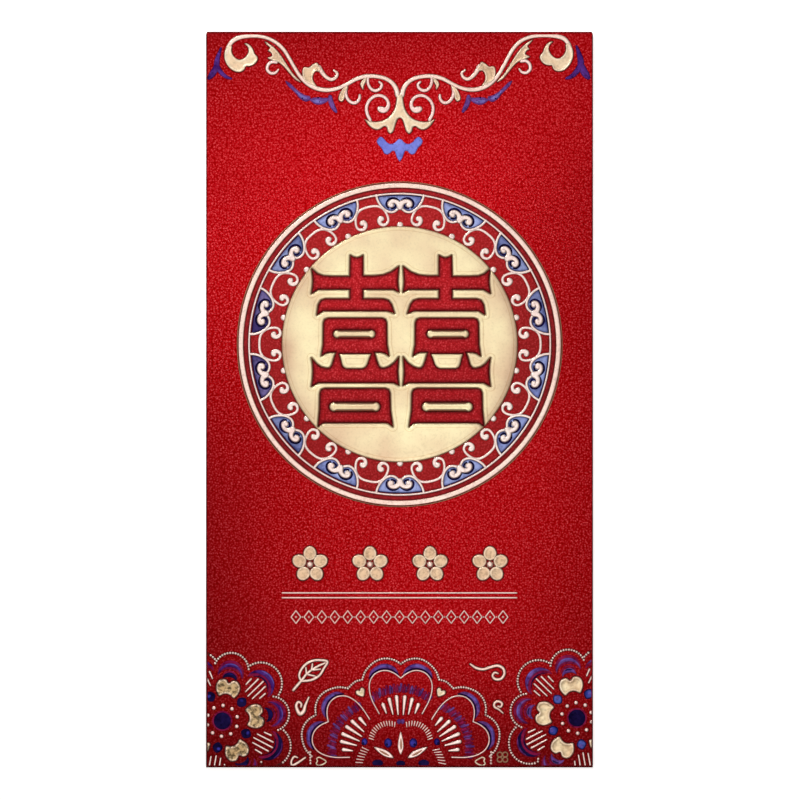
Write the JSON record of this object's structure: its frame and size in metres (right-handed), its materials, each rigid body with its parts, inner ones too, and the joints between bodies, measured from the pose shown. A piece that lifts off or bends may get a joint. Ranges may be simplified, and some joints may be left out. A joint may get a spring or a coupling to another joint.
{
  "type": "red gift envelope",
  "caption": "Flat red gift envelope of folded card with a hinged back flap, its front stamped with a gold medallion, a cloud-pattern ring, a scroll garland and corner flowers.",
  "frame": {"origin": "middle of the envelope's outline, on the surface that its back lies on", "axes": "+Z out of the decorated front, +Y towards the top fold and the mouth, +X to the right as seen from the front"},
  "size_m": [0.0882, 0.168, 0.0019],
  "materials": {
    "red_card": "300 g/m2 card, deep red outside with a fine pebbled pearl grain, off-white and uncoated inside",
    "gold_foil": "hot-stamped pale champagne metallic foil over embossed card",
    "blue_ink": "printed periwinkle, violet and navy metallic ink",
    "dry_glue": "thin dry line of paper glue"
  },
  "bodies": {
    "envelope": {"front_panel": "red_card", "back_panel": "red_card", "left_tab": "red_card", "right_tab": "red_card", "bottom_crease": "red_card", "left_crease": "red_card", "right_crease": "red_card", "top_crease": "red_card", "left_glue_line": "dry_glue", "right_glue_line": "dry_glue", "medallion_disc": "gold_foil", "medallion_rim": "gold_foil", "medallion_fret": "gold_foil", "garland_gold": "gold_foil", "motif_row": "gold_foil", "double_rule": "gold_foil", "lozenge_band": "gold_foil", "centre_rosette_gold": "gold_foil", "left_rosette_gold": "gold_foil", "right_rosette_gold": "gold_foil", "sprigs_gold": "gold_foil", "medallion_blue": "blue_ink", "garland_blue": "blue_ink", "centre_rosette_blue": "blue_ink", "left_rosette_blue": "blue_ink", "right_rosette_blue": "blue_ink"},
    "flap": {"top_flap": "red_card"}
  },
  "joints": [
    {"name": "flap_fold", "type": "hinge", "parent": "envelope", "child": "flap", "pos_m": [0, 0.08322, 0.00077], "axis": [1, 0, 0], "range_deg": [0, 180], "deforming": ["top_crease"]}
  ]
}
